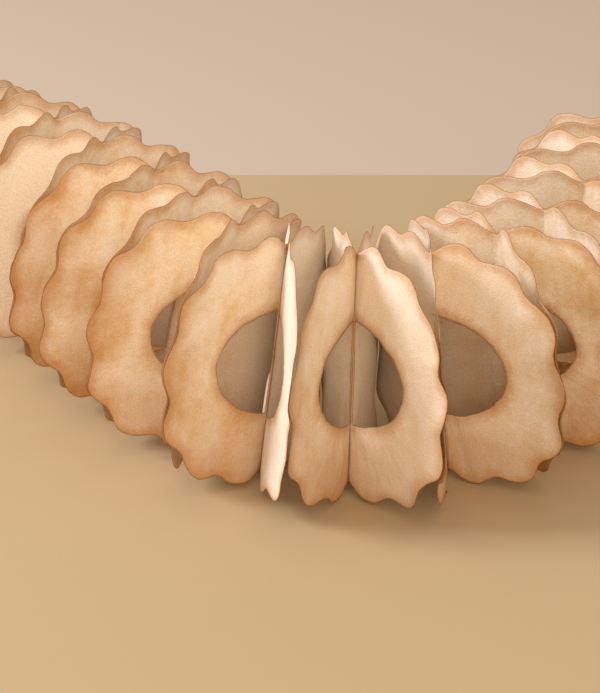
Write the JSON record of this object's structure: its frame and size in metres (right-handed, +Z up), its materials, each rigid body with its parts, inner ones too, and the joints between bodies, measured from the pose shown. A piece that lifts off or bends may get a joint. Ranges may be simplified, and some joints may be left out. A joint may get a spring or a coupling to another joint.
{
  "type": "paper garland",
  "caption": "Expanding honeycomb paper garland of scalloped round sheets with windows on one side, laid open in a wide U.",
  "frame": {"origin": "centre of the bounding box in plan, on the surface that the garland rests on", "axes": "+Z up, +X from the left arm to the right arm, -Y towards the outer side of the bend, where the windows are"},
  "size_m": [0.5884, 0.4302, 0.1449],
  "materials": {
    "paper": "matte, fibrous, tea-stained at the edges"
  },
  "bodies": {
    "root": {"sheet_01": "paper", "sheet_02": "paper", "sheet_03": "paper", "sheet_04": "paper", "sheet_05": "paper", "sheet_06": "paper", "sheet_07": "paper", "sheet_08": "paper", "sheet_09": "paper", "sheet_10": "paper", "sheet_11": "paper", "sheet_12": "paper", "sheet_13": "paper", "sheet_14": "paper", "sheet_15": "paper", "sheet_16": "paper", "sheet_17": "paper", "sheet_18": "paper", "sheet_19": "paper", "sheet_20": "paper", "sheet_21": "paper", "sheet_22": "paper", "sheet_23": "paper", "sheet_24": "paper", "sheet_25": "paper", "sheet_26": "paper", "sheet_27": "paper", "sheet_28": "paper", "sheet_29": "paper", "sheet_30": "paper"}
  },
  "joints": []
}
